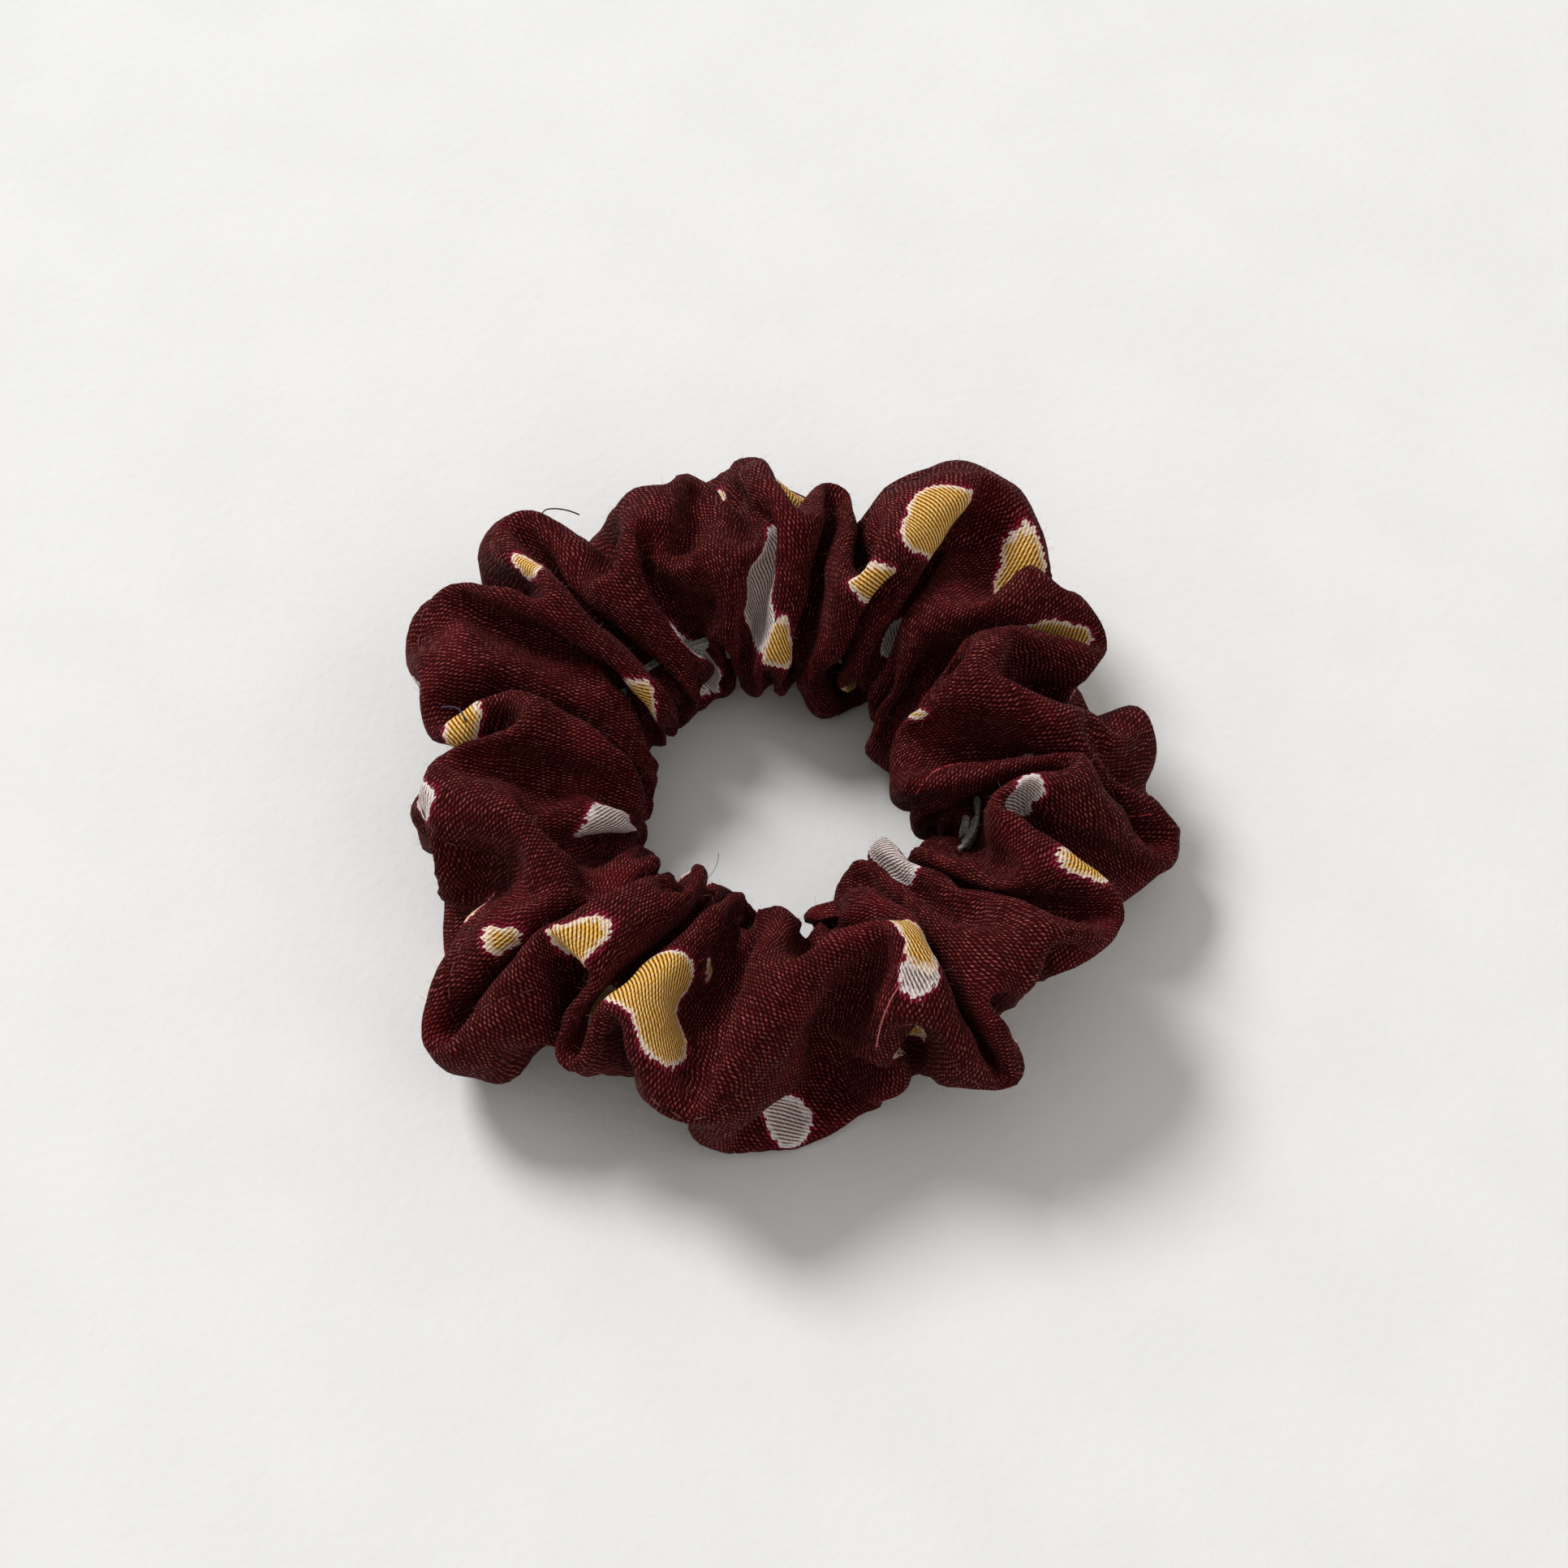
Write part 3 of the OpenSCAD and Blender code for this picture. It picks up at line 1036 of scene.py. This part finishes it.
def straightTube(section, step, steps):
    # pulls a closed section along X; returns the mesh in the making
    bm = bmesh.new()
    bmesh.ops.create_circle(bm, segments=len(section), radius=1)
    for vertex, (y, z) in zip(bm.verts, section):
        vertex.co = (0, y, z)
    bmesh.ops.spin(bm, geom=bm.edges[:], cent=(0, 0, 0), axis=(1, 0, 0), dvec=(step, 0, 0), angle=0,
                   steps=steps)
    bmesh.ops.holes_fill(bm, edges=[edge for edge in bm.edges if edge.is_boundary])
    bmesh.ops.recalc_face_normals(bm, faces=bm.faces)
    return bm


def roundedSection(thick, width, corners=14, squareness=0.45):
    turns = [fullTurn * (i + 0.5) / corners for i in range(corners)]
    return [(math.copysign(abs(math.cos(t)) ** squareness, math.cos(t)) * thick / 2,
             math.copysign(abs(math.sin(t)) ** squareness, math.sin(t)) * width / 2) for t in turns]


def lapRise(along, facts):
    # how far the last stretch of the elastic climbs to lie on its own start
    climb = (along - facts["loop"] + facts["lap"] * 0.5) / facts["lap"]
    return facts["thick"] * 1.05 * min(max(climb * 2, 0), 1)


def elasticPlace(line, along, out, up, facts):
    # a point of the band: along its length, out from its middle face, up its width
    directions, radius, height = line
    turn = along / facts["loop"] * fullTurn - facts["lap"] / facts["loop"] * math.pi
    middle = np.interp(turn % fullTurn, directions, radius, period=fullTurn)
    level = np.interp(turn % fullTurn, directions, height, period=fullTurn)
    away = middle + out + lapRise(along, facts)
    return Vector((away * math.cos(turn), away * math.sin(turn), level + up)) * millimetre


def makeElastic(line, facts):
    length = facts["loop"] + facts["lap"]
    bm = straightTube(roundedSection(facts["thick"], facts["width"]), length / facts["stops"], facts["stops"])
    layer = bm.loops.layers.uv.new("clothMap")
    for face in bm.faces:
        for loop in face.loops:
            x, y, z = loop.vert.co
            rolled = z if y > 0 else 2 * facts["width"] - z
            loop[layer].uv = (x / facts["loop"], rolled / (2 * (facts["width"] + facts["thick"])))
    for vertex in bm.verts:
        x, y, z = vertex.co
        vertex.co = elasticPlace(line, x, y, z, facts)
    bmesh.ops.recalc_face_normals(bm, faces=bm.faces)
    return addObject("elasticBand", meshFrom(bm, "elasticBand"))


def makeZigzag(line, facts, thread):
    half, pitch = facts["width"] * 0.3, facts["lap"] * 0.8 / facts["zigzags"]
    places = []
    for i in range(facts["zigzags"]):
        along = facts["loop"] + facts["lap"] * 0.1 + i * pitch
        low, high = (-half, half) if i % 2 else (half, -half)
        start = elasticPlace(line, along, facts["thick"] * 0.55, low, facts)
        end = elasticPlace(line, along + pitch, facts["thick"] * 0.55, high, facts)
        out = Vector((start.x, start.y, 0))
        size = ((end - start).length / 2, thread["radius"] * millimetre, thread["radius"] * millimetre)
        places.append(placeAt((start + end) / 2, end - start, out, size))
    return copies(makeStitch(), places, "elasticZigzag")


innerPath = elasticPath(surface, elasticFacts)
elastic = makeElastic(innerPath, elasticFacts)
elastic.data.materials.append(makeElasticMaterial(elasticFacts))
zigzag = makeZigzag(innerPath, elasticFacts, threadFacts)
zigzag.data.materials.append(makeThreadMaterial("whiteThread", (0.75, 0.75, 0.73, 1), (0.95, 0.95, 0.94, 1)))
print("elastic laid", round(elasticFacts["loop"]), "mm round")


# loose thread ends

looseThreads = dict(
    # where each one leaves the cloth, its direction in degrees, length, lift, turn and radius
    blueThreadTail=dict(x=-36.3, y=6.5, height=15, facing=100, length=4.0, lift=1.0, curl=70, radius=0.09,
                        colour="blue"),
    darkThreadTail=dict(x=-29, y=36, height=15, facing=50, length=5.0, lift=1.6, curl=-60, radius=0.09,
                        colour="dark"),
    looseSeamThread=dict(x=14, y=-25, height=14, facing=-140, length=8.0, lift=0.25, curl=40, radius=0.07,
                         colour="pink"),
    strayHair=dict(x=-9.7, y=-17, height=14, facing=40, length=7.0, lift=0.8, curl=50, radius=0.03,
                   colour="dark"),
)


def makeThread(name, points, radius):
    # a round thread with closed ends along a smooth curve through metres
    curve = bpy.data.curves.new(name, "CURVE")
    curve.dimensions = "3D"
    curve.bevel_depth = radius
    curve.bevel_resolution = 1
    curve.resolution_u = 4
    curve.use_fill_caps = True
    spline = curve.splines.new("NURBS")
    spline.points.add(len(points) - 1)
    for point, place in zip(spline.points, points):
        point.co = (*place, 1)
    spline.use_endpoint_u = True
    spline.order_u = 4
    shaper = bpy.data.objects.new(name, curve)
    scene.collection.objects.link(shaper)
    mesh = bpy.data.meshes.new_from_object(shaper.evaluated_get(bpy.context.evaluated_depsgraph_get()))
    bpy.data.objects.remove(shaper)
    bpy.data.curves.remove(curve)
    mesh.name = name
    mesh.shade_smooth()
    return addObject(name, mesh)


def looseEnd(name, facts, surface):
    # a thread end that starts in the cloth and lies over it
    start = surface.seenPoint(facts["x"], facts["y"], facts["height"])
    points = [start - Vector((0, 0, 0.6)) * millimetre]
    place, facing = start.copy(), math.radians(facts["facing"])
    steps = 7
    for i in range(steps):
        ahead = facts["length"] / steps * millimetre
        facing += math.radians(facts["curl"]) / steps
        place = place + Vector((math.cos(facing), math.sin(facing), 0)) * ahead
        lift = facts["lift"] * (0.25 + math.sin(math.pi * (i + 1) / (steps + 1)))
        point = surface.above(place, lift)
        point.z = max(point.z, points[-1].z - ahead / 2)
        points.append(point)
    return makeThread(name, points, facts["radius"] * millimetre)


tailColours = dict(
    blue=((0.008, 0.010, 0.045, 1), (0.05, 0.06, 0.20, 1)),
    dark=((0.010, 0.004, 0.006, 1), (0.06, 0.02, 0.03, 1)),
    pink=((0.35, 0.06, 0.07, 1), (0.65, 0.24, 0.24, 1)),
)
tails = {}
for name, facts in looseThreads.items():
    tails[name] = looseEnd(name, facts, surface)
    material = makeThreadMaterial(facts["colour"] + "Thread", *tailColours[facts["colour"]])
    tails[name].data.materials.append(material)
print("thread ends laid")


# fuzz: short fibres that stand off the cloth

fuzzFacts = dict(
    tries=110000,
    fibres=40000,
    shortest=0.2,
    longest=1.2,
    lean=0.5,
    thin=0.016,
    open=2.0,                    # room above the cloth where a hair can rise
    seed=8,
)


def makeFibre(facts):
    # a bent, flat hair about 1 long that starts at the origin
    bm = bmesh.new()
    first = bmesh.ops.create_vert(bm, co=(0, -facts["thin"] / 2, 0))["vert"]
    second = bmesh.ops.create_vert(bm, co=(0, facts["thin"] / 2, 0))["vert"]
    bm.edges.new(first + second)
    bmesh.ops.spin(bm, geom=bm.edges[:], cent=(1.05, 0, 0), axis=(0, 1, 0), angle=math.radians(55), steps=2)
    return meshFrom(bm, "fibre")


def makeFuzz(surface, facts):
    dice = np.random.default_rng(facts["seed"])
    along = dice.uniform(0, surface.length, facts["tries"])
    across = dice.uniform(0, surface.girth, facts["tries"])
    spare = dice.random(facts["tries"])
    leans, turns = dice.normal(0, facts["lean"], (2, facts["tries"], 3))
    places = []
    for point, normal, chance, lean, turn in zip(*surface.atAll(along, across), spare, leans, turns):
        root, up = Vector(point), Vector(normal).normalized()
        hidden = surface.tree.ray_cast(root + up * 0.2 * millimetre, up, facts["open"] * millimetre)[0]
        up = (up + Vector(lean)).normalized()
        side = up.cross(Vector(turn))
        clear = up.z > 0 or root.z > facts["longest"] * millimetre
        if hidden is None and clear and side.length > 0.02 and len(places) < facts["fibres"]:
            size = facts["shortest"] + (facts["longest"] - facts["shortest"]) * chance ** 3
            places.append(placeAt(root, side, up, (size * millimetre,) * 3))
    return copies(makeFibre(facts), places, "clothFuzz")


def makeFuzzMaterial():
    material, tree, shader = newMaterial("clothFuzz")
    place = addNode(tree, "ShaderNodeTexCoord").outputs["Object"]
    tint = ramp(tree, noise(tree, place, 900.0, 2.0), 0.35, 0.7)
    tree.links.new(blendColour(tree, tint, (0.05, 0.008, 0.010, 1), (0.34, 0.14, 0.13, 1)),
                   shader.inputs["Base Color"])
    shader.inputs["Roughness"].default_value = 0.6
    return material


fuzz = makeFuzz(surface, fuzzFacts)
fuzz.data.materials.append(makeFuzzMaterial())
print("fuzz raised", len(fuzz.data.polygons), "faces")


# which body each piece follows: the cover, elastic, long-seam stitches and fuzz are only baked in place, the
# other pieces are attached to one body, and the model parts that pieces stand for are hidden

for piece, nodes, finish in (
        (cover, ("cover_left", "cover_right"), "printed_cloth"),
        (elastic, ("elastic_band",), "braided_elastic"),
        (needleStitches, ("seam_needle_thread",), "seam_thread"),
        (bobbinStitches, ("seam_bobbin_thread",), "seam_thread"),
        (fuzz, (), "printed_cloth")):
    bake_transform(piece)
    if nodes:
        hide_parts(*nodes)
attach(tails["strayHair"], "left_half")
for piece, body, node, finish in (
        (zigzag, "right_half", "elastic_join_stitching", "white_thread"),
        (closingUpper, "right_half", "closing_needle_stitches", "closing_thread"),
        (closingUnder, "right_half", "closing_bobbin_stitches", "closing_thread"),
        (tails["blueThreadTail"], "left_half", "blue_thread_tail", "blue_thread"),
        (tails["darkThreadTail"], "left_half", "dark_thread_tail", "dark_thread"),
        (tails["looseSeamThread"], "right_half", "loose_seam_thread", "seam_thread")):
    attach(piece, body)
    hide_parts(node)


# floor and light

studio = dict(
    floorSize=6.0,
    floorColour=(0.80, 0.80, 0.79, 1),
    skyColour=(1.0, 0.965, 0.93, 1),
    skyStrength=0.47,
    keyFrom=(-1.70, 1.70, 2.50),
    keySize=1.30,
    keyEnergy=100,
    keyColour=(0.975, 0.985, 1.0),
    fillFrom=(0.7, -0.5, 0.8),
    fillSize=0.9,
    fillEnergy=1.2,
)


def makeFloor(facts):
    bm = bmesh.new()
    bmesh.ops.create_grid(bm, x_segments=1, y_segments=1, size=facts["floorSize"] / 2)
    floor = addObject("floor", meshFrom(bm, "floor", smooth=False))
    material, tree, shader = newMaterial("palePaper")
    place = addNode(tree, "ShaderNodeTexCoord").outputs["Object"]
    mottle = ramp(tree, noise(tree, place, 60.0, 4.0), 0.3, 0.7)
    duller = tuple(part * 0.97 for part in facts["floorColour"][:3]) + (1,)
    colour = blendColour(tree, mottle, facts["floorColour"], duller)
    tree.links.new(colour, shader.inputs["Base Color"])
    shader.inputs["Roughness"].default_value = 0.85
    addRelief(tree, shader, noise(tree, place, 700.0, 4.0), 0.25, 0.3)
    floor.data.materials.append(material)


def makeArea(name, place, size, energy, colour, target):
    data = bpy.data.lights.new(name, "AREA")
    data.shape = "DISK"
    data.size = size
    data.energy = energy
    data.color = colour
    lamp = addObject(name, data)
    lamp.location = place
    lamp.rotation_euler = (Vector(place) - Vector(target)).to_track_quat("Z", "Y").to_euler()


def makeStudio(facts):
    makeFloor(facts)
    makeArea("key", facts["keyFrom"], facts["keySize"], facts["keyEnergy"], facts["keyColour"], (0, 0, 0))
    makeArea("fill", facts["fillFrom"], facts["fillSize"], facts["fillEnergy"], (1, 1, 1), (0, 0, 0))
    world = bpy.data.worlds.new("studio")
    scene.world = world
    world.use_nodes = True
    sky = world.node_tree.nodes["Background"]
    sky.inputs["Color"].default_value = facts["skyColour"]
    sky.inputs["Strength"].default_value = facts["skyStrength"]
    scene.view_settings.view_transform = "Standard"
    scene.view_settings.look = "None"


makeStudio(studio)
print("studio lit")
